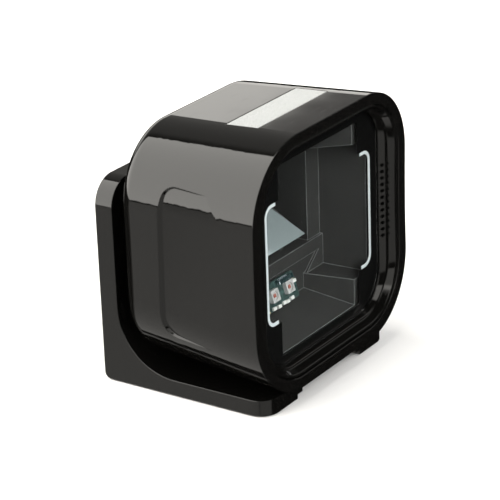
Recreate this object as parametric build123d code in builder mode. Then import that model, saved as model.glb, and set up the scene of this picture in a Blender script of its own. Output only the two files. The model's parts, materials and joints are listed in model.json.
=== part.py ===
"""Hands-free presentation barcode scanner on an L-shaped tilting stand.

Millimetres. +X is the right-hand side seen from the front, +Y points to the rear, +Z is up.
The origin is at the centre of the footprint, on the surface that the rubber feet stand on.
Places along the depth are given as distances behind the front rim and turned into Y by back().
"""
from build123d import *
from math import cos, radians, sin
import os

os.makedirs("parts", exist_ok=True)

# ---------------------------------------------------------------- driving dimensions
overall_depth = 58.3

# scanner head: a tapered box with large corner radii
head_width = 80.0
head_low = 5.35
head_high = 79.4
head_corner = 22.0
head_depth = 47.0
rear_width = 73.2
rear_low = 8.6
rear_high = 76.9
rear_corner = 21.0
rear_edge_radius = 4.5
rim_bow = 0.8
rim_bow_radius = 855.0
wall = 2.2
mid_height = 42.75

# window and the ring around it
lip = 3.5
opening_width = 60.2
opening_low = 12.5
opening_high = 73.0
opening_corner = 11.0
window_front = 4.4
window_thick = 1.6
print_thick = 0.15
clear_half = 20.5
clear_low = 14.5
clear_high = 70.0
band_half = 27.4
band_low = 24.8
band_high = 60.3

# light key on top
key_half = 17.5
key_front = 12.8
key_rear = 22.9
key_gap = 0.2
key_skirt_low = 75.1

# optics
baffle_front = 7.2
back_wall = 20.6
mirror_front = 20.0
mirror_low = 36.0
mirror_angle = 45.0
mirror_length = 19.6
mirror_low_half = 14.2
mirror_top_half = 5.4
led_tilt = 18.0

# main board and socket
board_face = 37.6
board_thick = 1.2
socket_height = 22.0
case_screw_half = 25.0
case_screw_low = 20.5
case_screw_high = 65.0

# tilt hinge between the head's rear face and the stand's upright
hinge_depth = 48.0
hinge_height = 46.0
pin_radius = 1.5
barrel_clearance = 0.04
knuckle_radius = 3.1
barrel_half = 11.9
ear_inner = 12.8
ear_thick = 1.5

# stand
stand_half = 32.15
foot_top = 5.0
foot_front = 3.0
pad_proud = 0.4
upright_front = 52.65
upright_top = 60.4
inner_radius = 18.5
screw_hole_radius = 1.9


def back(distance):
    """Y of a place the given distance behind the front rim."""
    return distance - overall_depth / 2


def section(distance):
    """Plane across the depth, seen from the front: local x is X and local y is Z."""
    return Plane(origin=(0, back(distance), 0), x_dir=(1, 0, 0), z_dir=(0, -1, 0))


def side(x):
    """Plane across the width: local x is Y and local y is Z."""
    return Plane(origin=(x, 0, 0), x_dir=(0, 1, 0), z_dir=(1, 0, 0))


def rounded(width, low, high, radius, mode=Mode.ADD):
    """Rounded rectangle about X = 0 between two heights, in a section sketch."""
    with Locations((0, (low + high) / 2)):
        RectangleRounded(width, high - low, radius, mode=mode)


def plain(width, low, high, mode=Mode.ADD):
    """Rectangle about X = 0 between two heights, in a section sketch."""
    with Locations((0, (low + high) / 2)):
        Rectangle(width, high - low, mode=mode)


def block(x, y, z, mode=Mode.ADD):
    """Box between pairs of X, distance behind the rim, and Z, in the current part."""
    with Locations(((x[0] + x[1]) / 2, back((y[0] + y[1]) / 2), (z[0] + z[1]) / 2)):
        Box(x[1] - x[0], y[1] - y[0], z[1] - z[0], mode=mode)


def rod(place, radius, length, mode=Mode.ADD):
    """Cylinder along the depth that starts at (X, distance behind the rim, Z) and runs rearward."""
    x, distance, z = place
    with Locations((x, back(distance + length / 2), z)):
        Cylinder(radius, length, rotation=(90, 0, 0), mode=mode)


def upright_rod(place, radius, length, mode=Mode.ADD):
    """Vertical cylinder that stands on (X, distance behind the rim, Z)."""
    x, distance, z = place
    with Locations((x, back(distance), z + length / 2)):
        Cylinder(radius, length, mode=mode)


def cross_rod(x, radius, mode=Mode.ADD):
    """Cylinder on the hinge axis between two X places."""
    with Locations(((x[0] + x[1]) / 2, back(hinge_depth), hinge_height)):
        Cylinder(radius, x[1] - x[0], rotation=(0, 90, 0), mode=mode)


def save(builder, name):
    """Label a finished piece and write it to its own file."""
    builder.part.label = name
    export_step(builder.part, "parts/" + name + ".step")


mirrored_sides = (-1, 1)
case_screw_places = [(s * case_screw_half, z) for s in mirrored_sides for z in (case_screw_low, case_screw_high)]
baffle_screw_places = [(s * 33.0, z) for s in mirrored_sides for z in (26.5, 59.0)]
camera_screw_places = [(s * 10.5, y) for s in mirrored_sides for y in (24.5, 33.5)]
indicator_screw_places = [(s * 20.0, 17.0) for s in mirrored_sides]
hinge_screw_places = [(s * 9.5, z) for s in mirrored_sides for z in (41.9, 50.1)]

# ---------------------------------------------------------------- outer form of the head
with BuildPart() as head_form:
    with BuildSketch(section(0)):
        rounded(head_width, head_low, head_high, head_corner)
    with BuildSketch(section(head_depth)):
        rounded(rear_width, rear_low, rear_high, rear_corner)
    loft(ruled=True)
    fillet(head_form.faces().sort_by(Axis.Y)[-1].edges(), radius=rear_edge_radius)


def bow_cut(setback):
    """Hollow the front to a very large radius, so that mid-height sits behind the top and the bottom."""
    with Locations((0, back(rim_bow + setback) - rim_bow_radius, mid_height)):
        Cylinder(rim_bow_radius, 1.2 * head_width, rotation=(0, 90, 0), mode=Mode.SUBTRACT)


# ---------------------------------------------------------------- casing
panel_face = head_width / 2
panel_outline = [(4.0, 66.2), (35.5, 71.1), (37.0, 16.5), (4.0, 16.7)]
panel_corner = 8.0
panel_draft = 50.0
panel_cut = 5.5
panel_fade = (3.0, 36.0)
panel_insets = (-0.4, 1.25)
panel_flattening = 1.0

with BuildPart() as panel_cutter:
    # side view of the recess, seen level with the widest point of the head; its walls slope inward
    with BuildSketch(side(panel_face)) as panel_sketch:
        with BuildLine():
            Polyline(*[(back(distance), height) for distance, height in panel_outline], close=True)
        make_face()
        fillet(panel_sketch.vertices().sort_by(Axis.X)[-2:], radius=panel_corner)
    extrude(amount=-panel_cut, taper=panel_draft)
    # what stays of the head under the recess's floor, which comes up to the skin towards the front
    for distance, inset in zip(panel_fade, panel_insets):
        share = distance / head_depth
        low = head_low + (rear_low - head_low) * share
        high = head_high + (rear_high - head_high) * share
        with BuildSketch(section(distance)):
            rounded(
                head_width + (rear_width - head_width) * share - 2 * inset,
                low + inset,
                high - inset,
                head_corner + (rear_corner - head_corner) * share - inset - panel_flattening,
            )
    loft(ruled=True, mode=Mode.SUBTRACT)

socket_half = 7.7
socket_low = socket_height - 6.3
socket_high = socket_height + 6.3
pocket_half = 17.5
pocket_low = 38.5
pocket_high = 53.5
pocket_floor = 42.4
pocket_wall = 1.6

with BuildPart() as housing_shell:
    add(head_form.part)
    bow_cut(0)
    # cavity, open at the front inside the lip
    with BuildSketch(section(-2)):
        rounded(head_width - 2 * lip, head_low + lip - 0.3, head_high - lip + 0.3, 18.6)
    with BuildSketch(section(head_depth - wall)):
        rounded(rear_width - 2 * wall - 0.2, rear_low + wall + 0.2, rear_high - wall - 0.2, 18.8)
    loft(ruled=True, mode=Mode.SUBTRACT)
    # walls of the hinge pocket in the rear face
    block(
        (-pocket_half - pocket_wall, pocket_half + pocket_wall),
        (pocket_floor - pocket_wall, head_depth - 1),
        (pocket_low - pocket_wall, pocket_high + pocket_wall),
    )
    block(
        (-pocket_half, pocket_half),
        (pocket_floor, head_depth + 3),
        (pocket_low, pocket_high),
        mode=Mode.SUBTRACT,
    )
    # aperture round the cable socket
    block(
        (-socket_half - 0.2, socket_half + 0.2),
        (head_depth - wall - 4, head_depth + 3),
        (socket_low - 0.2, socket_high + 0.2),
        mode=Mode.SUBTRACT,
    )
    # bosses that the main board is clamped against, with the case screws' holes and counterbores
    for x, z in case_screw_places:
        rod((x, board_face + board_thick, z), 3.2, head_depth - board_face - board_thick - 1)
    for x, z in case_screw_places:
        rod((x, board_face, z), 1.35, head_depth, mode=Mode.SUBTRACT)
        rod((x, head_depth - 2.2, z), 2.5, 5, mode=Mode.SUBTRACT)
    # screw holes in the pocket's floor
    for x, z in hinge_screw_places:
        rod((x, pocket_floor - 3, z), 1.1, 5, mode=Mode.SUBTRACT)
    # slot for the light key
    block(
        (-key_half - key_gap, key_half + key_gap),
        (key_front - key_gap, key_rear + key_gap),
        (70, 82),
        mode=Mode.SUBTRACT,
    )
    # thinner ceiling over the key's flange
    block(
        (-key_half - 1.7, key_half + 1.7),
        (key_front - 1.6, key_rear + 1.6),
        (70, key_skirt_low + 1.1),
        mode=Mode.SUBTRACT,
    )
    # catches for the ring's hooks
    for s in mirrored_sides:
        block(sorted((s * 34, s * 36.9)), (6.9, 9.3), (mid_height - 4.3, mid_height + 4.3), mode=Mode.SUBTRACT)
    # recessed panel in each flank
    add(panel_cutter.part, mode=Mode.SUBTRACT)
    add(mirror(panel_cutter.part, about=Plane.YZ, mode=Mode.PRIVATE), mode=Mode.SUBTRACT)
save(housing_shell, "housing_shell")

# ---------------------------------------------------------------- ring round the window
ring_setback = 0.3
ring_rear = 9.5
hole_pitch = 1.96
hole_low = 32.5
hole_radius = 0.5
hole_columns = (31.1, 33.0)
hole_count = 12

with BuildPart() as front_bezel:
    with BuildSketch(section(-1)):
        rounded(72.3, 9.0, 75.9, 18.1)
    with BuildSketch(section(ring_rear)):
        rounded(71.2, 9.7, 75.2, 17.6)
    loft(ruled=True)
    bow_cut(ring_setback)
    # outer slope of the dish
    with BuildSketch(section(-1)):
        rounded(72.0, 9.1, 75.8, 18.0)
    with BuildSketch(section(2.6)):
        rounded(66.4, 11.0, 74.3, 14.8)
    loft(ruled=True, mode=Mode.SUBTRACT)
    # inner slope of the dish, behind a fine step
    with BuildSketch(section(1.8)):
        rounded(66.0, 11.1, 74.2, 14.0)
    with BuildSketch(section(3.8)):
        rounded(opening_width, opening_low, opening_high, opening_corner)
    loft(ruled=True, mode=Mode.SUBTRACT)
    with BuildSketch(section(-1)):
        rounded(opening_width, opening_low, opening_high, opening_corner)
    extrude(amount=-12, mode=Mode.SUBTRACT)
    # seat for the pane and its seal
    with BuildSketch(section(window_front)):
        rounded(opening_width + 1.8, opening_low - 0.9, opening_high + 0.9, opening_corner + 0.9)
    extrude(amount=-10, mode=Mode.SUBTRACT)
    # skirt behind the seat
    with BuildSketch(section(baffle_front)):
        rounded(68.8, 10.9, 74.0, 16.4)
    extrude(amount=-10, mode=Mode.SUBTRACT)
    # hooks that hold the ring in the casing
    for s in mirrored_sides:
        block(sorted((s * 35.0, s * 36.6)), (7.2, 9.0), (mid_height - 4, mid_height + 4))
    # sound holes, two columns
    for x in hole_columns:
        for row in range(hole_count):
            rod((x, -1, hole_low + row * hole_pitch), hole_radius, 12, mode=Mode.SUBTRACT)
    # blind holes for the chamber's screws
    for x, z in baffle_screw_places:
        rod((x, 4.6, z), 0.6, 4, mode=Mode.SUBTRACT)
save(front_bezel, "front_bezel")

# ---------------------------------------------------------------- pane, its print and its seal
window_rear = window_front + window_thick
print_rear = window_rear + print_thick

with BuildPart() as scan_window:
    with BuildSketch(section(window_front)):
        rounded(opening_width + 1.4, opening_low - 0.7, opening_high + 0.7, opening_corner + 0.7)
    extrude(amount=-window_thick)
save(scan_window, "scan_window")

with BuildPart() as window_mask:
    with BuildSketch(section(window_rear)):
        rounded(opening_width + 1.2, opening_low - 0.6, opening_high + 0.6, opening_corner + 0.6)
        plain(2 * clear_half, clear_low, clear_high, mode=Mode.SUBTRACT)
        rounded(2 * band_half, band_low, band_high, 3.5, mode=Mode.SUBTRACT)
    extrude(amount=-print_thick)
save(window_mask, "window_mask")

mark_line = 1.0
mark_stub = 22.0
with BuildPart() as aiming_marks:
    for s in mirrored_sides:
        with BuildSketch(section(window_rear)):
            with BuildLine():
                FilletPolyline(
                    (s * mark_stub, band_high - mark_line / 2),
                    (s * (band_half - mark_line / 2), band_high - mark_line / 2),
                    (s * (band_half - mark_line / 2), band_low + mark_line / 2),
                    (s * mark_stub, band_low + mark_line / 2),
                    radius=3.0,
                )
            trace(line_width=mark_line)
        extrude(amount=-print_thick)
save(aiming_marks, "aiming_marks")

with BuildPart() as window_gasket:
    with BuildSketch(section(print_rear)):
        rounded(opening_width + 1.4, opening_low - 0.7, opening_high + 0.7, opening_corner + 0.7)
        rounded(58.0, 13.6, 71.9, 9.5, mode=Mode.SUBTRACT)
    extrude(amount=-(baffle_front - print_rear))
save(window_gasket, "window_gasket")

# ---------------------------------------------------------------- dark chamber behind the window
trough_front_half = 19.8
trough_rear_half = 13.6
trough_front_low = 14.2
trough_rear_low = 19.2
duct_low = 22.2
duct_rise = 1.6
duct_high = 2 * mid_height - duct_low
chamber_half = 16.4
chamber_rear = 36.2
chamber_top = 61.5
chamber_skin = 1.2
hood_proud = 0.8
hood_half = 23.3
hood_low = 23.4
hood_high = 33.0
hood_mouth_half = 14.0
hood_spread_half = 21.0
hood_spread_high = 28.9
lens_x = 0.0
lens_depth = 28.0


def flip(height):
    """The same height above mid-height as the given one is below it."""
    return 2 * mid_height - height


with BuildPart() as optical_baffle:
    # flange against the seal
    with BuildSketch(section(baffle_front)):
        rounded(68.4, 11.1, 73.8, 16.0)
    extrude(amount=-1.4)
    # wide duct, narrowing to the back wall
    with BuildSketch(section(baffle_front + 1)):
        plain(56.4, duct_low - chamber_skin, duct_high + chamber_skin)
    with BuildSketch(section(back_wall + chamber_skin)):
        plain(48.4, duct_low + duct_rise - chamber_skin, duct_high - duct_rise + chamber_skin)
    loft(ruled=True)
    # troughs below and above the duct
    with BuildSketch(section(baffle_front + 1)):
        plain(2 * trough_front_half + 2.4, trough_front_low - 1, flip(trough_front_low) + 1)
    with BuildSketch(section(back_wall + chamber_skin)):
        plain(2 * trough_rear_half + 2.4, trough_rear_low - 1, flip(trough_rear_low) + 1)
    loft(ruled=True)
    # compartment for the mirror and the camera
    block(
        (-chamber_half - chamber_skin, chamber_half + chamber_skin),
        (back_wall, chamber_rear + 1),
        (31.5, chamber_top + 1.2),
    )
    # posts that reach the main board
    for x, z in case_screw_places:
        rod((x, back_wall, z), 2.6, board_face - back_wall)
        rod((x, board_face - 8, z), 1.0, 10, mode=Mode.SUBTRACT)
    # posts under the key's board
    for x, y in indicator_screw_places:
        upright_rod((x, y, 66.0), 2.0, 6.0)
    # rail that ties those posts to the top of the trough
    block((-20.0, 20.0), (16.0, 18.0), (66.0, 69.5))
    # standoffs under the camera's board
    for x, y in camera_screw_places:
        upright_rod((x, y, chamber_top + 1), 1.5, 3.5)
    # inside of the duct
    with BuildSketch(section(baffle_front - 0.1)):
        plain(54.0, duct_low, duct_high)
    with BuildSketch(section(back_wall)):
        plain(46.0, duct_low + duct_rise, duct_high - duct_rise)
    loft(ruled=True, mode=Mode.SUBTRACT)
    # insides of the troughs
    with BuildSketch(section(baffle_front - 0.1)):
        plain(2 * trough_front_half, trough_front_low, flip(trough_front_low))
    with BuildSketch(section(back_wall)):
        plain(2 * trough_rear_half, trough_rear_low, flip(trough_rear_low))
    loft(ruled=True, mode=Mode.SUBTRACT)
    # inside of the compartment and the lens's way into it
    block((-chamber_half, chamber_half), (back_wall - 2, chamber_rear), (33.0, chamber_top), mode=Mode.SUBTRACT)
    upright_rod((lens_x, lens_depth, chamber_top - 1), 5.4, 5, mode=Mode.SUBTRACT)
    # raised part of the back wall, with a spread recess round the illumination board
    with BuildSketch(section(back_wall - hood_proud)):
        with BuildLine():
            Polyline(
                (-hood_half, hood_low),
                (-hood_half, hood_high),
                (hood_half, hood_high),
                (hood_half, hood_low),
                (hood_mouth_half, hood_low),
                (hood_spread_half, hood_spread_high),
                (-hood_spread_half, hood_spread_high),
                (-hood_mouth_half, hood_low),
                close=True,
            )
        make_face()
    extrude(amount=-hood_proud - chamber_skin / 2)
    # way through for the illumination board's ribbon
    block((-13.4, -8.6), (back_wall - 2, back_wall + 3), (19.9, 21.6), mode=Mode.SUBTRACT)
    # room for the speaker
    block((28.6, 36.0), (baffle_front - 1, baffle_front + 3), (29.4, 56.2), mode=Mode.SUBTRACT)
    # screw holes in the flange
    for x, z in baffle_screw_places:
        rod((x, baffle_front - 1, z), 0.85, 4, mode=Mode.SUBTRACT)
save(optical_baffle, "optical_baffle")

with BuildPart() as baffle_screws:
    for x, z in baffle_screw_places:
        rod((x, 4.8, z), 0.6, baffle_front + 1.4 - 4.8)
        rod((x, baffle_front + 1.4, z), 1.25, 0.9)
        rod((x, baffle_front + 1.9, z), 0.5, 1, mode=Mode.SUBTRACT)
save(baffle_screws, "baffle_screws")

# ---------------------------------------------------------------- fold mirror and its wedge
mirror_thick = 1.1
mirror_plane = Plane(
    origin=(0, back(mirror_front), mirror_low),
    x_dir=(1, 0, 0),
    z_dir=(0, -sin(radians(mirror_angle)), cos(radians(mirror_angle))),
)
with BuildPart() as fold_mirror:
    with BuildSketch(mirror_plane):
        with BuildLine():
            Polyline(
                (-mirror_low_half, 0),
                (mirror_low_half, 0),
                (mirror_top_half, mirror_length),
                (-mirror_top_half, mirror_length),
                close=True,
            )
        make_face()
    extrude(amount=-mirror_thick)
save(fold_mirror, "fold_mirror")

with BuildPart() as mirror_carrier:
    with BuildSketch(mirror_plane.offset(-mirror_thick)):
        with BuildLine():
            Polyline(
                (-mirror_low_half - 0.4, 1.4),
                (mirror_low_half + 0.4, 1.4),
                (mirror_top_half + 3.0, mirror_length + 0.2),
                (-mirror_top_half - 3.0, mirror_length + 0.2),
                close=True,
            )
        make_face()
    extrude(amount=-1.6)
    # ribs under the sloping plate
    for x in (-7.4, 6.0):
        with BuildSketch(side(x)):
            with BuildLine():
                Polyline(
                    (back(23.2), 33.0),
                    (back(chamber_rear - 0.4), 33.0),
                    (back(chamber_rear - 0.4), 48.2),
                    (back(23.2), 35.6),
                    close=True,
                )
            make_face()
        extrude(amount=1.4)
save(mirror_carrier, "mirror_carrier")

# ---------------------------------------------------------------- illumination board
led_depth = 18.1
led_height = 24.7
led_middle = -2.8
led_half = 3.8
led_size = 3.6
led_places = [(s * led_half, 0) for s in mirrored_sides]
small_part_places = [(-4.9, -3.5), (-2.4, -3.7), (0.2, -3.5), (1.9, -3.7), (4.2, -3.5), (-8.4, 1.2), (7.3, 0.6)]

# front face of the illumination board, about the middle between its two lights; local x is X
led_plane = Plane(
    origin=(led_middle, back(led_depth), led_height),
    x_dir=(1, 0, 0),
    z_dir=(0, -cos(radians(led_tilt)), sin(radians(led_tilt))),
)

with BuildPart() as led_board:
    with BuildSketch(led_plane):
        with Locations((-1.05, -0.3)):
            RectangleRounded(18.7, 7.8, 0.8)
    extrude(amount=-1.0)
save(led_board, "led_board")

with BuildPart() as illumination_leds:
    with BuildSketch(led_plane):
        with Locations(*led_places):
            RectangleRounded(led_size, led_size, 0.3)
    extrude(amount=1.3)
    # cup in each package
    with BuildSketch(led_plane.offset(0.7)):
        with Locations(*led_places):
            Circle(1.25)
    extrude(amount=1, mode=Mode.SUBTRACT)
save(illumination_leds, "illumination_leds")

with BuildPart() as led_dies:
    with BuildSketch(led_plane.offset(0.7)):
        with Locations(*led_places):
            Rectangle(1.0, 1.0)
    extrude(amount=0.3)
save(led_dies, "led_dies")

with BuildPart() as led_small_parts:
    with BuildSketch(led_plane):
        with Locations(*small_part_places):
            Rectangle(1.5, 0.9)
    extrude(amount=0.6)
save(led_small_parts, "led_small_parts")

with BuildPart() as aimer_window:
    with BuildSketch(led_plane):
        with Locations((2.6, 2.7)):
            RectangleRounded(6.6, 1.4, 0.3)
    extrude(amount=1.7)
save(aimer_window, "aimer_window")

# ---------------------------------------------------------------- camera that looks down into the mirror
camera_board_low = chamber_top + 4.5
with BuildPart() as camera_board:
    block((-12.5, 12.5), (22.8, 35.4), (camera_board_low, camera_board_low + 1))
    for x, y in camera_screw_places:
        upright_rod((x, y, camera_board_low - 1), 0.9, 4, mode=Mode.SUBTRACT)
save(camera_board, "camera_board")

with BuildPart() as camera_screws:
    for x, y in camera_screw_places:
        upright_rod((x, y, camera_board_low + 1), 1.4, 0.8)
        upright_rod((x, y, camera_board_low + 1.3), 0.55, 1, mode=Mode.SUBTRACT)
save(camera_screws, "camera_screws")

with BuildPart() as image_sensor:
    block((-3.6, 3.6), (24.8, 31.2), (camera_board_low - 1.1, camera_board_low))
save(image_sensor, "image_sensor")

with BuildPart() as lens_holder:
    block((-6.2, 6.2), (22.9, 33.1), (camera_board_low - 1.4, camera_board_low))
    upright_rod((lens_x, lens_depth, camera_board_low - 5.4), 5.0, 4.2)
    block((-3.8, 3.8), (24.6, 31.4), (camera_board_low - 1.2, camera_board_low + 1), mode=Mode.SUBTRACT)
    upright_rod((lens_x, lens_depth, camera_board_low - 8), 3.6, 9, mode=Mode.SUBTRACT)
save(lens_holder, "lens_holder")

with BuildPart() as lens_barrel:
    upright_rod((lens_x, lens_depth, camera_board_low - 7.4), 3.6, 5.6)
    upright_rod((lens_x, lens_depth, camera_board_low - 8.6), 4.4, 2.2)
    upright_rod((lens_x, lens_depth, camera_board_low - 9), 2.2, 9, mode=Mode.SUBTRACT)
save(lens_barrel, "lens_barrel")

with BuildPart() as front_lens:
    upright_rod((lens_x, lens_depth, camera_board_low - 8.0), 2.2, 1.4)
    fillet(front_lens.edges().group_by(Axis.Z)[0], radius=0.6)
save(front_lens, "front_lens")

# ---------------------------------------------------------------- main board
board_rear = board_face + board_thick
with BuildPart() as main_board:
    with BuildSketch(section(board_face)):
        rounded(60.0, 15.0, 69.5, 5.0)
        plain(17.0, 10.0, 28.9, mode=Mode.SUBTRACT)
        with Locations(*case_screw_places):
            Circle(1.35, mode=Mode.SUBTRACT)
    extrude(amount=-board_thick)
save(main_board, "main_board")

with BuildPart() as processor_chip:
    block((-29.0, -20.5), (board_rear, board_rear + 1.3), (38.0, 52.0))
save(processor_chip, "processor_chip")

with BuildPart() as shield_can:
    block((-14, 14), (board_rear, board_rear + 2.4), (57.0, 67.0))
    block((-13.7, 13.7), (board_rear - 1, board_rear + 2.1), (57.3, 66.7), mode=Mode.SUBTRACT)
save(shield_can, "shield_can")

with BuildPart() as board_capacitors:
    for z in (33.5, 39.0, 44.5):
        rod((24.5, board_rear, z), 2.1, 4.4)
save(board_capacitors, "board_capacitors")

with BuildPart() as case_screws:
    for x, z in case_screw_places:
        rod((x, board_face - 6, z), 1.0, head_depth - 2.2 - board_face + 6)
        rod((x, head_depth - 2.2, z), 2.2, 1.5)
        with Locations((x, back(head_depth - 0.7), z)):
            Box(2.6, 1.4, 0.6, mode=Mode.SUBTRACT)
            Box(0.6, 1.4, 2.6, mode=Mode.SUBTRACT)
save(case_screws, "case_screws")

with BuildPart() as ribbon_connectors:
    block((-5.0, 5.0), (board_face - 1.2, board_face), (63.0, 66.0))
    block((-16.0, -9.4), (board_face - 1.2, board_face), (16.2, 19.2))
save(ribbon_connectors, "ribbon_connectors")

ribbon_thick = 0.2
with BuildPart() as camera_ribbon:
    with BuildLine(side(0)) as camera_ribbon_path:
        FilletPolyline(
            (back(34.9), camera_board_low + 1.1),
            (back(36.8), camera_board_low + 1.1),
            (back(36.8), 66.1),
            radius=0.45,
        )
    with BuildSketch(Plane(camera_ribbon_path.line @ 0, x_dir=(1, 0, 0), z_dir=camera_ribbon_path.line % 0)):
        Rectangle(7.0, ribbon_thick)
    sweep()
save(camera_ribbon, "camera_ribbon")

led_ribbon_x = -11.0
with BuildPart() as led_ribbon:
    with BuildLine(side(led_ribbon_x)) as led_ribbon_path:
        FilletPolyline(
            (back(18.55), 21.3),
            (back(21.6), 20.7),
            (back(board_face - 1.2), 18.2),
            radius=6.0,
        )
    with BuildSketch(Plane(led_ribbon_path.line @ 0, x_dir=(1, 0, 0), z_dir=led_ribbon_path.line % 0)):
        Rectangle(4.0, ribbon_thick)
    sweep()
save(led_ribbon, "led_ribbon")

# ---------------------------------------------------------------- cable socket in the rear face
socket_front = 31.0
mouth_half = 5.95
mouth_low = socket_height - 4.0
mouth_high = socket_height + 4.0
with BuildPart() as cable_socket:
    block((-socket_half, socket_half), (socket_front, head_depth - 0.2), (socket_low, socket_high))
    block((-mouth_half, mouth_half), (socket_front + 1.2, head_depth + 1), (mouth_low, mouth_high), mode=Mode.SUBTRACT)
    # way for the plug's latch
    block((-1.7, 1.7), (socket_front + 8, head_depth + 1), (mouth_low - 1.4, mouth_low + 1), mode=Mode.SUBTRACT)
save(cable_socket, "cable_socket")

with BuildPart() as socket_contacts:
    for pin in range(10):
        x = (pin - 4.5) * 1.02
        block((x - 0.2, x + 0.2), (socket_front + 1.2, socket_front + 8.5), (mouth_high - 0.5, mouth_high))
save(socket_contacts, "socket_contacts")

# ---------------------------------------------------------------- speaker behind the sound holes
speaker_x = 32.0
speaker_low = 30.4
speaker_high = 55.2
speaker_half = 2.9
with BuildPart() as speaker_frame:
    block((speaker_x - speaker_half, speaker_x + speaker_half - 0.5), (7.3, 11.5), (speaker_low, speaker_high))
    block(
        (speaker_x - speaker_half + 0.6, speaker_x + speaker_half - 1.1),
        (7.0, 8.6),
        (speaker_low + 0.8, speaker_high - 0.8),
        mode=Mode.SUBTRACT,
    )
save(speaker_frame, "speaker_frame")

with BuildPart() as speaker_cone:
    block(
        (speaker_x - speaker_half + 0.6, speaker_x + speaker_half - 1.1),
        (7.9, 8.2),
        (speaker_low + 0.8, speaker_high - 0.8),
    )
save(speaker_cone, "speaker_cone")

# ---------------------------------------------------------------- light key and what is under it
key_board_low = 72.0
key_board_top = 72.8
switch_half = 14.5
key_middle = (key_front + key_rear) / 2

with BuildPart() as light_key:
    add(head_form.part)
    block((-key_half, key_half), (key_front, key_rear), (key_skirt_low, 82), mode=Mode.INTERSECT)
    # flange under the casing's top, which stops the key from coming out
    block((-key_half - 1.0, key_half + 1.0), (key_front - 0.9, key_rear + 0.9), (key_skirt_low, key_skirt_low + 0.7))
    # hollow over the lights
    block((-11.0, 11.0), (key_front + 1.4, key_rear - 1.4), (key_skirt_low - 1, key_skirt_low + 1.4), mode=Mode.SUBTRACT)
save(light_key, "light_key")

with BuildPart() as switch_plungers:
    for x in (-switch_half, switch_half):
        upright_rod((x, key_middle, key_board_top + 0.6), 0.9, key_skirt_low - key_board_top - 0.6)
save(switch_plungers, "switch_plungers")

with BuildPart() as indicator_board:
    block((-23.0, 23.0), (10.8, 23.2), (key_board_low, key_board_top))
    for x, y in indicator_screw_places:
        upright_rod((x, y, key_board_low - 1), 0.9, 3, mode=Mode.SUBTRACT)
save(indicator_board, "indicator_board")

with BuildPart() as indicator_screws:
    for x, y in indicator_screw_places:
        upright_rod((x, y, key_board_top), 1.6, 0.9)
        upright_rod((x, y, key_board_top + 0.4), 0.6, 1, mode=Mode.SUBTRACT)
save(indicator_screws, "indicator_screws")

with BuildPart() as key_switches:
    for x in (-switch_half, switch_half):
        block((x - 2.1, x + 2.1), (key_middle - 2.1, key_middle + 2.1), (key_board_top, key_board_top + 1.6))
        upright_rod((x, key_middle, key_board_top - 1), 1.0, 5, mode=Mode.SUBTRACT)
save(key_switches, "key_switches")

with BuildPart() as indicator_leds:
    for x in (-8.0, 0.0, 8.0):
        block((x - 1.4, x + 1.4), (key_middle - 1.4, key_middle + 1.4), (key_board_top, key_board_top + 1.0))
save(indicator_leds, "indicator_leds")

# ---------------------------------------------------------------- head's half of the tilt hinge
bracket_front = pocket_floor
bracket_thick = 1.5

with BuildPart() as head_hinge_bracket:
    block((-13.0, 13.0), (bracket_front, bracket_front + bracket_thick), (39.4, 52.6))
    block((-barrel_half, barrel_half), (bracket_front + 1, hinge_depth), (hinge_height - 1.9, hinge_height + 1.9))
    cross_rod((-barrel_half, barrel_half), knuckle_radius)
    cross_rod((-barrel_half - 1, barrel_half + 1), pin_radius + barrel_clearance, mode=Mode.SUBTRACT)
    for x, z in hinge_screw_places:
        rod((x, bracket_front - 1, z), 1.1, 4, mode=Mode.SUBTRACT)
save(head_hinge_bracket, "head_hinge_bracket")

backing_front = pocket_floor - pocket_wall - 1.2
with BuildPart() as hinge_backing_plate:
    block((-12.5, 12.5), (backing_front, backing_front + 1.2), (39.6, 52.4))
    for x, z in hinge_screw_places:
        rod((x, backing_front - 1, z), 1.0, 4, mode=Mode.SUBTRACT)
save(hinge_backing_plate, "hinge_backing_plate")

with BuildPart() as head_hinge_screws:
    for x, z in hinge_screw_places:
        rod((x, backing_front, z), 1.0, bracket_front + bracket_thick - backing_front)
        rod((x, bracket_front + bracket_thick, z), 1.55, 1.0)
        rod((x, bracket_front + bracket_thick + 0.4, z), 0.6, 1, mode=Mode.SUBTRACT)
save(head_hinge_screws, "head_hinge_screws")

with BuildPart() as rating_label:
    with BuildSketch(section(head_depth)):
        rounded(26.0, 29.6, 36.6, 1.0)
    extrude(amount=-0.2)
save(rating_label, "rating_label")

# ---------------------------------------------------------------- stand
notch_depth = 9.0
cable_way_half = 11.0
cable_way_low = 13.0
cable_way_high = 31.0
pad_places = [(s * 24.5, y) for s in mirrored_sides for y in (10.0, 49.0)]
foot_screw_half = 12.0
foot_screw_depth = 29.0
wall_screw_places = [(s * 19.5, z) for s in mirrored_sides for z in (30.0, 50.0)]
plate_screw_places = [(s * 8.0, z) for s in mirrored_sides for z in (42.0, 50.0)]

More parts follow.
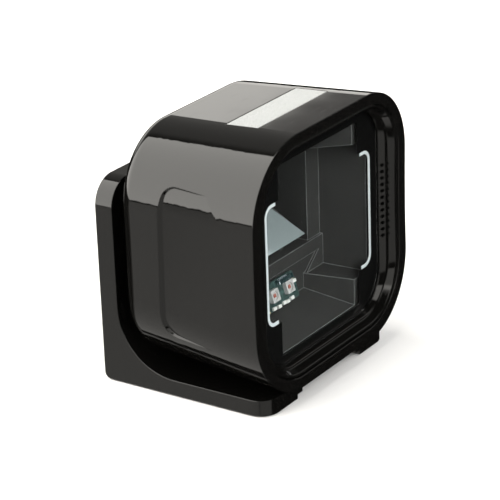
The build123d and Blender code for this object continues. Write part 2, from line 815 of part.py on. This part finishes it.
with BuildPart() as stand_bracket:
    with BuildSketch(side(-stand_half)):
        with BuildLine():
            Polyline(
                (back(upright_front), foot_top + inner_radius),
                (back(upright_front), upright_top),
                (back(overall_depth), upright_top),
                (back(overall_depth), pad_proud),
                (back(foot_front), pad_proud),
                (back(foot_front), foot_top),
                (back(upright_front - inner_radius), foot_top),
            )
            RadiusArc(
                (back(upright_front - inner_radius), foot_top),
                (back(upright_front), foot_top + inner_radius),
                -inner_radius,
            )
        make_face()
    extrude(amount=2 * stand_half)
    # rounded outline of the upright and of the foot
    top_corners = stand_bracket.edges().filter_by(Axis.Y).group_by(Axis.Z)[-1]
    fillet(top_corners, radius=8.0)
    front_corners = stand_bracket.edges().filter_by(Axis.Z).group_by(Axis.Y)[0]
    fillet(front_corners, radius=5.6)
    heel = stand_bracket.edges().filter_by(Axis.X).group_by(Axis.Z)[0].sort_by(Axis.Y)[-1]
    fillet(heel, radius=2.0)
    # finger notch in the front of the foot, wider in its lower step
    with BuildSketch(Plane.XY):
        with Locations((0, back(foot_front))):
            RectangleRounded(28.6, 2 * notch_depth, 3.5)
    extrude(amount=foot_top + 1, mode=Mode.SUBTRACT)
    with BuildSketch(Plane.XY):
        with Locations((0, back(foot_front))):
            RectangleRounded(33.6, 2 * notch_depth + 3, 4.5)
    extrude(amount=1.7, mode=Mode.SUBTRACT)
    # way through the upright for the cable
    with BuildSketch(section(40)):
        rounded(2 * cable_way_half, cable_way_low, cable_way_high, 3.0)
    extrude(amount=-30, mode=Mode.SUBTRACT)
    # recesses for the feet
    for x, y in pad_places:
        upright_rod((x, y, -1), 4.1, 1 + pad_proud + 0.8, mode=Mode.SUBTRACT)
    # screw holes for a wall, with countersinks on the inner face
    for x, z in wall_screw_places:
        rod((x, upright_front - 2, z), screw_hole_radius, 12, mode=Mode.SUBTRACT)
        with Locations((x, back(upright_front + 0.9), z)):
            Cone(screw_hole_radius, screw_hole_radius + 1.9, 1.9, rotation=(90, 0, 0), mode=Mode.SUBTRACT)
    # screw holes for a counter, with countersinks on the upper face
    for s in mirrored_sides:
        upright_rod((s * foot_screw_half, foot_screw_depth, -1), screw_hole_radius, 8, mode=Mode.SUBTRACT)
        with Locations((s * foot_screw_half, back(foot_screw_depth), foot_top - 0.9)):
            Cone(screw_hole_radius, screw_hole_radius + 1.9, 1.9, mode=Mode.SUBTRACT)
    # counterbored holes for the hinge plate's screws
    for x, z in plate_screw_places:
        rod((x, upright_front - 1, z), 1.15, 12, mode=Mode.SUBTRACT)
        rod((x, overall_depth - 2.0, z), 2.5, 4, mode=Mode.SUBTRACT)
save(stand_bracket, "stand_bracket")

with BuildPart() as foot_pads:
    for x, y in pad_places:
        upright_rod((x, y, 0), 4.0, pad_proud + 0.8)
save(foot_pads, "foot_pads")

plate_thick = 1.4
ear_outer = ear_inner + ear_thick
with BuildPart() as stand_hinge_plate:
    block((-15.5, 15.5), (upright_front - plate_thick, upright_front), (39.2, 52.8))
    for s in mirrored_sides:
        cross_rod(sorted((s * ear_inner, s * ear_outer)), knuckle_radius)
        block(
            sorted((s * ear_inner, s * ear_outer)),
            (hinge_depth, upright_front - 0.5),
            (hinge_height - knuckle_radius, hinge_height + knuckle_radius),
        )
    cross_rod((-ear_outer - 1, ear_outer + 1), pin_radius, mode=Mode.SUBTRACT)
    for x, z in plate_screw_places:
        rod((x, upright_front - 3, z), 1.0, 4, mode=Mode.SUBTRACT)
save(stand_hinge_plate, "stand_hinge_plate")

with BuildPart() as hinge_plate_screws:
    for x, z in plate_screw_places:
        rod((x, upright_front - plate_thick, z), 1.0, overall_depth - 2.0 - upright_front + plate_thick)
        rod((x, overall_depth - 2.0, z), 2.2, 1.4)
        with Locations((x, back(overall_depth - 0.6), z)):
            Box(2.6, 1.4, 0.6, mode=Mode.SUBTRACT)
            Box(0.6, 1.4, 2.6, mode=Mode.SUBTRACT)
save(hinge_plate_screws, "hinge_plate_screws")

pin_half = 16.0
with BuildPart() as hinge_pin:
    cross_rod((-pin_half, pin_half), pin_radius)
    chamfer(hinge_pin.edges().group_by(Axis.X)[0] + hinge_pin.edges().group_by(Axis.X)[-1], length=0.3)
save(hinge_pin, "hinge_pin")

with BuildPart() as pin_rings:
    for s in mirrored_sides:
        cross_rod(sorted((s * (ear_outer + 0.1), s * (ear_outer + 0.8))), 2.5)
    cross_rod((-pin_half - 1, pin_half + 1), pin_radius, mode=Mode.SUBTRACT)
save(pin_rings, "pin_rings")

with BuildPart() as friction_washers:
    for s in mirrored_sides:
        cross_rod(sorted((s * (ear_inner - 0.6), s * ear_inner)), 2.9)
    cross_rod((-pin_half - 1, pin_half + 1), pin_radius, mode=Mode.SUBTRACT)
save(friction_washers, "friction_washers")
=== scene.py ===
"""Looks of the presentation barcode scanner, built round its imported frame. Metres, +Z up, window faces -Y."""
import json
import math

import bpy
from mathutils import Matrix, Vector


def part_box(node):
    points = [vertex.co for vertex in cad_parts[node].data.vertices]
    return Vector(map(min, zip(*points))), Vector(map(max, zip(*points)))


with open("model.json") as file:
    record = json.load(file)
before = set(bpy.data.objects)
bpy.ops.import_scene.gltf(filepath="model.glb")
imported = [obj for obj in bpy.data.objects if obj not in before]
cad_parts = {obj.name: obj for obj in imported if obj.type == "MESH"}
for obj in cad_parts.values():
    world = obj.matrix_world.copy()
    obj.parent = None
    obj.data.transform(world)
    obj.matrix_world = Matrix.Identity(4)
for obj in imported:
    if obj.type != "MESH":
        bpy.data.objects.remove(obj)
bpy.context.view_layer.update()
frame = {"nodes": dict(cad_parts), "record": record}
nodes = frame["nodes"]
MM = 0.001

# ------------------------------------------------------------------ camera
VIEW_AZIMUTH = math.radians(-55.842)
VIEW_ELEVATION = math.radians(22.058)
VIEW_ROLL = math.radians(-2.057)
VIEW_DISTANCE = 0.65279
VIEW_TARGET = Vector((-0.48, -0.76, 34.28)) * MM
LENS = 165.41


def make_camera():
    """Camera on a sphere round its target, with a small roll."""
    data = bpy.data.cameras.new("camera")
    data.lens = LENS
    data.sensor_width = 36.0
    camera = bpy.data.objects.new("camera", data)
    bpy.context.scene.collection.objects.link(camera)
    towards = Vector((
        math.sin(VIEW_AZIMUTH) * math.cos(VIEW_ELEVATION),
        -math.cos(VIEW_AZIMUTH) * math.cos(VIEW_ELEVATION),
        math.sin(VIEW_ELEVATION),
    ))
    turn = towards.to_track_quat("Z", "Y").to_matrix().to_4x4() @ Matrix.Rotation(VIEW_ROLL, 4, "Z")
    camera.matrix_world = Matrix.Translation(VIEW_TARGET + towards * VIEW_DISTANCE) @ turn
    bpy.context.scene.camera = camera


# ------------------------------------------------------------------ node helpers
def put(tree, kind, inputs=None, **settings):
    """Add a node. An input given as a socket is linked, and any other value is set on the socket itself."""
    node = tree.nodes.new(kind)
    for name, value in settings.items():
        setattr(node, name, value)
    for name, value in (inputs or {}).items():
        if isinstance(value, bpy.types.NodeSocket):
            tree.links.new(value, node.inputs[name])
        else:
            node.inputs[name].default_value = value
    return node


def math_node(tree, operation, *values, clamp=False):
    """Output of a Math node on sockets or plain numbers."""
    node = put(tree, "ShaderNodeMath", dict(enumerate(values)), operation=operation, use_clamp=clamp)
    return node.outputs[0]


def step_up(tree, value, edge, softness):
    """0 below an edge and 1 above it, with a smooth change softness wide."""
    node = put(tree, "ShaderNodeMapRange", {
        "Value": value, "From Min": edge - softness / 2, "From Max": edge + softness / 2,
    }, interpolation_type="SMOOTHSTEP")
    return node.outputs["Result"]


def step_down(tree, value, edge, softness):
    """1 below an edge and 0 above it."""
    return math_node(tree, "SUBTRACT", 1.0, step_up(tree, value, edge, softness))


def both(tree, first, second):
    """1 where both masks are 1."""
    return math_node(tree, "MULTIPLY", first, second)


def between(tree, value, low, high, softness):
    """1 between two edges and 0 outside them."""
    return both(tree, step_up(tree, value, low, softness), step_down(tree, value, high, softness))


# ------------------------------------------------------------------ studio
BACKDROP = (1.0, 1.0, 1.0, 1.0)
ROOM_LEVEL = 0.014
FLOOR_ALBEDO = 0.9
FLOOR_HALF = 8.0
LAMP_SIZE = 0.9
# name, place in metres and power in watts
FILL_LAMPS = (
    ("front_fill", (-0.35, -1.0, 0.5), 9.0),
    ("right_fill", (1.0, -0.3, 0.6), 6.0),
)
# brightness of each box that the gloss can see
OVERHEAD_LEVEL = 4.2
BEHIND_LEVEL = 1.9
ABOVE_LEVEL = 0.28
FRONT_LEVEL = 2.2
CORNER_LEVEL = 1.1
TABLE_LEVEL = 0.7
NEAR_TABLE_LEVEL = 0.6
STUDIO_COLOUR = (1.0, 0.975, 0.92, 1.0)


def angle(tree, rise, run):
    """Angle of a direction in one plane, in degrees from its run axis."""
    return math_node(tree, "DEGREES", math_node(tree, "ARCTAN2", rise, run))


def make_world():
    """Dark room with soft boxes and a white table, for gloss and shade. The camera sees a pale backdrop."""
    world = bpy.data.worlds.new("studio")
    bpy.context.scene.world = world
    world.use_nodes = True
    tree = world.node_tree
    tree.nodes.clear()
    direction = put(tree, "ShaderNodeTexCoord").outputs["Generated"]
    split = put(tree, "ShaderNodeSeparateXYZ", {"Vector": direction})
    x, y, z = split.outputs
    # 0 straight up and 90 at the left horizon
    lean = angle(tree, math_node(tree, "MULTIPLY", x, -1.0), z)
    # 0 at the rear horizon and 90 straight up
    along = angle(tree, z, y)
    # overhead box from just right of the top down to the left
    overhead = both(tree, between(tree, lean, -9.0, 101.0, 1.6), step_up(tree, y, -0.1, 0.25))
    # white table on the left, below a dark gap at the horizon
    table = both(tree, step_up(tree, lean, 103.3, 1.0), between(tree, y, -0.3, 0.75, 0.15))
    # the same table in front of the window, to the left
    front_left = both(tree, step_down(tree, y, -0.35, 0.1), step_down(tree, x, 0.0, 0.15))
    near_table = both(tree, between(tree, z, -0.6, -0.12, 0.1), front_left)
    # low box behind and to the right, with a dimmer part above it
    right = step_up(tree, x, 0.2, 0.2)
    behind = both(tree, between(tree, along, 7.0, 25.4, 1.0), right)
    above = both(tree, between(tree, along, 25.4, 60.0, 1.0), right)
    # box in front, high to the left
    front = both(tree, between(tree, lean, 0.0, 45.0, 6.0), step_down(tree, y, -0.5, 0.1))
    # dimmer boxes at both front corners of the room, for the flanks as seen from the rear
    outward = step_up(tree, math_node(tree, "ABSOLUTE", x), 0.45, 0.06)
    sideways = both(tree, outward, between(tree, z, 0.08, 0.7, 0.05))
    corners = both(tree, between(tree, y, -0.85, -0.3, 0.1), sideways)
    level = ROOM_LEVEL
    boxes = (
        (overhead, OVERHEAD_LEVEL),
        (behind, BEHIND_LEVEL),
        (above, ABOVE_LEVEL),
        (front, FRONT_LEVEL),
        (corners, CORNER_LEVEL),
        (table, TABLE_LEVEL),
        (near_table, NEAR_TABLE_LEVEL),
    )
    for mask, brightness in boxes:
        level = math_node(tree, "MULTIPLY_ADD", mask, brightness, level)
    studio = put(tree, "ShaderNodeBackground", {"Color": STUDIO_COLOUR, "Strength": level})
    backdrop = put(tree, "ShaderNodeBackground", {"Color": BACKDROP, "Strength": 1.0})
    seen = put(tree, "ShaderNodeLightPath").outputs["Is Camera Ray"]
    mix = put(tree, "ShaderNodeMixShader", {0: seen, 1: studio.outputs[0], 2: backdrop.outputs[0]})
    put(tree, "ShaderNodeOutputWorld", {"Surface": mix.outputs[0]})


def make_table():
    """Wide pale floor. The gloss and the pane see the table of make_world instead of it."""
    mesh = bpy.data.meshes.new("floor")
    corners = [(x * FLOOR_HALF, y * FLOOR_HALF, 0) for x, y in ((-1, -1), (1, -1), (1, 1), (-1, 1))]
    mesh.from_pydata(corners, [], [(0, 1, 2, 3)])
    floor = bpy.data.objects.new("floor", mesh)
    bpy.context.scene.collection.objects.link(floor)
    material = bpy.data.materials.new("floor")
    material.use_nodes = True
    shader = material.node_tree.nodes["Principled BSDF"]
    shader.inputs["Base Color"].default_value = (FLOOR_ALBEDO, FLOOR_ALBEDO, FLOOR_ALBEDO, 1.0)
    shader.inputs["Roughness"].default_value = 1.0
    shader.inputs["Specular IOR Level"].default_value = 0.0
    mesh.materials.append(material)
    floor.visible_glossy = False
    floor.visible_transmission = False


def make_lamp(name, place, power):
    """Soft square lamp that faces the object, fills the shade and is not seen in the gloss."""
    data = bpy.data.lights.new(name, "AREA")
    data.shape = "SQUARE"
    data.size = LAMP_SIZE
    data.energy = power
    lamp = bpy.data.objects.new(name, data)
    bpy.context.scene.collection.objects.link(lamp)
    lamp.location = place
    lamp.rotation_euler = (-Vector(place)).to_track_quat("-Z", "Y").to_euler()
    lamp.visible_glossy = False
    lamp.visible_camera = False


# ------------------------------------------------------------------ materials
def new_material(name):
    """Empty node material, its tree and the coordinates of the row frame."""
    material = bpy.data.materials.new(name)
    material.use_nodes = True
    tree = material.node_tree
    tree.nodes.clear()
    return material, tree, put(tree, "ShaderNodeTexCoord").outputs["Object"]


def noise(tree, coords, size, detail=3.0, stretch=None):
    """Noise whose lumps are about size millimetres across. stretch scales it along each axis."""
    if stretch:
        coords = put(tree, "ShaderNodeVectorMath", {0: coords, 1: stretch}, operation="MULTIPLY").outputs[0]
    return put(tree, "ShaderNodeTexNoise", {
        "Vector": coords, "Scale": 1 / (size * MM), "Detail": detail, "Roughness": 0.55,
    }).outputs["Fac"]


def spread(tree, factor, low, high):
    """Factor mapped from its usual range onto low to high."""
    return put(tree, "ShaderNodeMapRange", {
        "Value": factor, "From Min": 0.3, "From Max": 0.7, "To Min": low, "To Max": high,
    }).outputs["Result"]


def blend_colours(tree, factor, first, second):
    """Colour between two colours, each a socket or three numbers."""
    ready = [c if isinstance(c, bpy.types.NodeSocket) else (*c, 1.0) for c in (first, second)]
    node = put(tree, "ShaderNodeMix", data_type="RGBA")
    for socket, value in ((node.inputs[0], factor), (node.inputs[6], ready[0]), (node.inputs[7], ready[1])):
        if isinstance(value, bpy.types.NodeSocket):
            tree.links.new(value, socket)
        else:
            socket.default_value = value
    return node.outputs[2]


def shade(colour, amount):
    """A colour made lighter or darker."""
    return tuple(min(1.0, c * amount) for c in colour)


def relief(tree, height, depth, edge):
    """Normal of a surface with a fine relief depth millimetres deep and edges rounded by edge millimetres."""
    rounded = put(tree, "ShaderNodeBevel", {"Radius": edge * MM}, samples=6).outputs[0]
    return put(tree, "ShaderNodeBump", {
        "Strength": 1.0, "Distance": depth * MM, "Height": height, "Normal": rounded,
    }).outputs[0]


def edge_line(tree, width, contrast):
    """1 on edges within width millimetres and 0 on flat faces."""
    rounded = put(tree, "ShaderNodeBevel", {"Radius": width * MM}, samples=8).outputs[0]
    flat = put(tree, "ShaderNodeNewGeometry").outputs["Normal"]
    match = put(tree, "ShaderNodeVectorMath", {0: rounded, 1: flat}, operation="DOT_PRODUCT").outputs["Value"]
    return math_node(tree, "MULTIPLY", math_node(tree, "SUBTRACT", 1.0, match), contrast, clamp=True)


def finish_shader(tree, sockets):
    """Principled shader with the given sockets, wired to the output."""
    shader = put(tree, "ShaderNodeBsdfPrincipled", sockets)
    put(tree, "ShaderNodeOutputMaterial", {"Surface": shader.outputs[0]})
    return shader


def moulded(name, colour, rough, grain, depth, edge=0.2, cloud=9.0, colour_spread=0.12, **sockets):
    """Plastic, rubber or print: a slow drift of colour, a fine grain, softened edges. Sizes in millimetres."""
    material, tree, coords = new_material(name)
    drift = noise(tree, coords, cloud, 2.0)
    fine = noise(tree, coords, grain)
    darker, lighter = shade(colour, 1 - colour_spread), shade(colour, 1 + colour_spread)
    finish_shader(tree, {
        "Base Color": blend_colours(tree, drift, darker, lighter),
        "Roughness": spread(tree, fine, rough * 0.8, rough * 1.2),
        "Normal": relief(tree, fine, depth, edge),
        **sockets,
    })
    return material


def plastic_with_painted_edge_highlights(name, colour, painted_edge_highlight_colour):
    """Matt dark moulding with a painted highlight on its edges: thin pale lines of base colour stand in for the
    light that the edges catch.
    """
    material, tree, coords = new_material(name)
    drift = noise(tree, coords, 9.0, 2.0)
    fine = noise(tree, coords, 0.16)
    ground = blend_colours(tree, drift, shade(colour, 0.88), shade(colour, 1.12))
    # painted highlight: the edges within 0.3 mm are blended towards the pale highlight colour in the base
    # colour
    lines = edge_line(tree, 0.3, 4.0)
    finish_shader(tree, {
        "Base Color": blend_colours(tree, lines, ground, painted_edge_highlight_colour),
        "Roughness": spread(tree, fine, 0.4, 0.55),
        "Normal": relief(tree, fine, 0.004, 0.3),
        "Specular IOR Level": 0.08,
    })
    return material


def metal(name, colour, rough, stretch, edge=0.12):
    """Rolled or plated metal with a brushed grain that runs along its stretched axis."""
    material, tree, coords = new_material(name)
    lines = noise(tree, coords, 0.12, 2.0, stretch)
    bloom = noise(tree, coords, 4.0, 3.0)
    finish_shader(tree, {
        "Base Color": blend_colours(tree, bloom, shade(colour, 0.86), shade(colour, 1.08)),
        "Roughness": spread(tree, lines, rough * 0.7, rough * 1.3),
        "Normal": relief(tree, lines, 0.003, edge),
        "Metallic": 1.0,
    })
    return material


def piano_black(name):
    """High-gloss moulded black with a faint flow ripple, fine dust and hairline wear."""
    material, tree, coords = new_material(name)
    ripple = noise(tree, coords, 14.0, 1.0)
    dust = noise(tree, coords, 0.35, 4.0)
    hairlines = noise(tree, coords, 0.5, 2.0, (0.06, 1.0, 1.3))
    specks = step_up(tree, dust, 0.73, 0.05)
    worn = step_up(tree, hairlines, 0.68, 0.08)
    roughness = spread(tree, ripple, 0.028, 0.05)
    roughness = math_node(tree, "MULTIPLY_ADD", worn, 0.05, roughness)
    roughness = math_node(tree, "MULTIPLY_ADD", specks, 0.2, roughness)
    finish_shader(tree, {
        "Base Color": blend_colours(tree, specks, (0.0025, 0.0024, 0.0022), (0.014, 0.0135, 0.013)),
        "Roughness": roughness,
        "Normal": relief(tree, ripple, 0.012, 0.42),
        "IOR": 1.5,
    })
    return material


def see_through(name, tint, ior, rough):
    """Clear moulding that lets lamps through, with a faint haze of handling on it."""
    material, tree, coords = new_material(name)
    haze = noise(tree, coords, 6.0, 4.0)
    glass = put(tree, "ShaderNodeBsdfPrincipled", {
        "Base Color": (*tint, 1.0),
        "Roughness": spread(tree, haze, rough * 0.5, rough * 1.5),
        "IOR": ior,
        "Transmission Weight": 1.0,
    })
    open_way = put(tree, "ShaderNodeBsdfTransparent", {"Color": (*tint, 1.0)})
    shadow = put(tree, "ShaderNodeLightPath").outputs["Is Shadow Ray"]
    mix = put(tree, "ShaderNodeMixShader", {0: shadow, 1: glass.outputs[0], 2: open_way.outputs[0]})
    put(tree, "ShaderNodeOutputMaterial", {"Surface": mix.outputs[0]})
    return material


def circuit_board(name, mask, copper):
    """Solder mask over copper: straight tracks and round pads show through it."""
    material, tree, coords = new_material(name)
    tracks = put(tree, "ShaderNodeTexBrick", {
        "Vector": coords, "Scale": 1 / (4 * MM), "Mortar Size": 0.045, "Brick Width": 1.1, "Row Height": 0.4,
    }).outputs["Fac"]
    pads = put(tree, "ShaderNodeTexVoronoi", {"Vector": coords, "Scale": 1 / (2.6 * MM)}).outputs["Distance"]
    pads = step_down(tree, pads, 0.13, 0.03)
    drift = noise(tree, coords, 5.0)
    ground = blend_colours(tree, drift, shade(mask, 0.8), shade(mask, 1.2))
    traced = blend_colours(tree, tracks, ground, shade(mask, 1.9))
    height = math_node(tree, "ADD", tracks, pads)
    finish_shader(tree, {
        "Base Color": blend_colours(tree, pads, traced, copper),
        "Roughness": spread(tree, drift, 0.24, 0.36),
        "Normal": relief(tree, height, 0.02, 0.08),
    })
    return material


def foam(name, colour):
    """Closed-cell foam."""
    material, tree, coords = new_material(name)
    cell_size = 0.35 * MM
    cells = put(tree, "ShaderNodeTexVoronoi", {"Vector": coords, "Scale": 1 / cell_size}).outputs["Distance"]
    finish_shader(tree, {
        "Base Color": blend_colours(tree, cells, shade(colour, 0.6), shade(colour, 1.4)),
        "Roughness": spread(tree, cells, 0.85, 0.95),
        "Normal": relief(tree, cells, 0.08, 0.2),
    })
    return material


def frosted_key(name):
    """Milky diffuser moulding: light soaks into it and its skin is satin."""
    material, tree, coords = new_material(name)
    flow = noise(tree, coords, 5.0, 2.0)
    skin = noise(tree, coords, 0.2)
    finish_shader(tree, {
        "Base Color": blend_colours(tree, flow, (0.36, 0.373, 0.373), (0.4, 0.413, 0.41)),
        "Roughness": spread(tree, skin, 0.22, 0.34),
        "Normal": relief(tree, skin, 0.004, 0.35),
        "Subsurface Weight": 0.25,
        "Subsurface Radius": (1.0, 0.95, 0.9),
        "Subsurface Scale": 0.8 * MM,
    })
    return material


def mirror(name):
    """Fold mirror, part real gloss and part flat colour with a faint bloom. The pale blue-grey of the flat
    colour is a painted reflection of the bright light that the mirror catches.
    """
    material, tree, coords = new_material(name)
    bloom = noise(tree, coords, 3.0, 4.0)
    finish_shader(tree, {
        # painted reflection: this pale blue-grey base colour stands in for the bright light that the mirror
        # reflects
        "Base Color": blend_colours(tree, bloom, (0.3, 0.355, 0.365), (0.36, 0.415, 0.42)),
        "Roughness": spread(tree, bloom, 0.08, 0.16),
        "Normal": relief(tree, bloom, 0.0005, 0.1),
        "Metallic": 0.25,
    })
    return material


def label_paper(name):
    """Plain grey label with a printed border."""
    material, tree, coords = new_material(name)
    low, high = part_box("rating_label")
    middle, half = (low + high) / 2, (high - low) / 2
    split = put(tree, "ShaderNodeSeparateXYZ", {
        "Vector": put(tree, "ShaderNodeVectorMath", {0: coords, 1: middle}, operation="SUBTRACT").outputs[0],
    })
    margins = []
    for axis, reach in ((0, half.x), (2, half.z)):
        away = math_node(tree, "ABSOLUTE", split.outputs[axis])
        margins.append(between(tree, away, reach - 1.3 * MM, reach - 0.9 * MM, 0.05 * MM))
    border = math_node(tree, "MAXIMUM", *margins)
    fibre = noise(tree, coords, 0.3)
    paper = blend_colours(tree, fibre, (0.5, 0.51, 0.52), (0.58, 0.59, 0.6))
    finish_shader(tree, {
        "Base Color": blend_colours(tree, border, paper, (0.08, 0.08, 0.08)),
        "Roughness": spread(tree, fibre, 0.4, 0.55),
        "Normal": relief(tree, fibre, 0.003, 0.05),
    })
    return material


def make_materials():
    """One finish for each material slot of the record."""
    return {
        "gloss_black": piano_black("gloss_black"),
        # the second colour is the painted edge highlight of the matt black moulding
        "matt_black": plastic_with_painted_edge_highlights("matt_black", (0.04, 0.04, 0.0385), (0.34, 0.35, 0.35)),
        "black_rubber": moulded("black_rubber", (0.025, 0.025, 0.025), 0.75, 0.25, 0.02, edge=0.3),
        "foam_rubber": foam("foam_rubber", (0.03, 0.03, 0.03)),
        "plated_steel": metal("plated_steel", (0.6, 0.605, 0.61), 0.3, (0.05, 1.0, 1.0)),
        "spring_steel": metal("spring_steel", (0.5, 0.5, 0.49), 0.22, (1.0, 0.05, 1.0)),
        "black_screw": moulded("black_screw", (0.03, 0.03, 0.032), 0.35, 0.1, 0.004, edge=0.1, Metallic=0.6),
        "clear_pane": see_through("clear_pane", (0.96, 0.975, 0.975), 1.45, 0.008),
        "clear_lens": see_through("clear_lens", (0.8, 0.88, 0.95), 1.5, 0.01),
        "black_print": moulded("black_print", (0.006, 0.006, 0.006), 0.3, 0.1, 0.001, edge=0.03),
        "white_print": moulded(
            "white_print", (0.93, 0.96, 0.96), 0.45, 0.1, 0.001, edge=0.03, colour_spread=0.04,
        ),
        "mirror_coat": mirror("mirror_coat"),
        "board_green": circuit_board("board_green", (0.03, 0.06, 0.055), (0.5, 0.45, 0.3)),
        "chip_black": moulded("chip_black", (0.02, 0.02, 0.021), 0.5, 0.08, 0.004, edge=0.06),
        "led_white": moulded("led_white", (0.5, 0.5, 0.49), 0.4, 0.15, 0.003, edge=0.08, colour_spread=0.04),
        "led_red": moulded("led_red", (0.36, 0.1, 0.07), 0.3, 0.2, 0.003, edge=0.04),
        "part_white": moulded(
            "part_white", (0.8, 0.8, 0.77), 0.45, 0.2, 0.004, edge=0.08, colour_spread=0.05,
        ),
        "can_aluminium": metal("can_aluminium", (0.75, 0.75, 0.77), 0.28, (1.0, 0.08, 1.0)),
        "ribbon_amber": moulded("ribbon_amber", (0.55, 0.25, 0.06), 0.3, 0.4, 0.004, edge=0.03, cloud=1.5),
        "contact_gold": metal("contact_gold", (0.85, 0.63, 0.25), 0.2, (1.0, 0.1, 1.0), edge=0.05),
        "key_white": frosted_key("key_white"),
        "label_grey": label_paper("label_grey"),
    }


def dress():
    """Give every piece of the frame the finish of its slot."""
    materials = make_materials()
    for entry in frame["record"]["subparts"]:
        node = nodes[entry["node"]]
        node.data.materials.clear()
        node.data.materials.append(materials[entry["material_slot"]])


make_camera()
make_world()
make_table()
for lamp_name, lamp_place, lamp_power in FILL_LAMPS:
    make_lamp(lamp_name, lamp_place, lamp_power)
dress()
bpy.context.scene.view_settings.view_transform = "Standard"
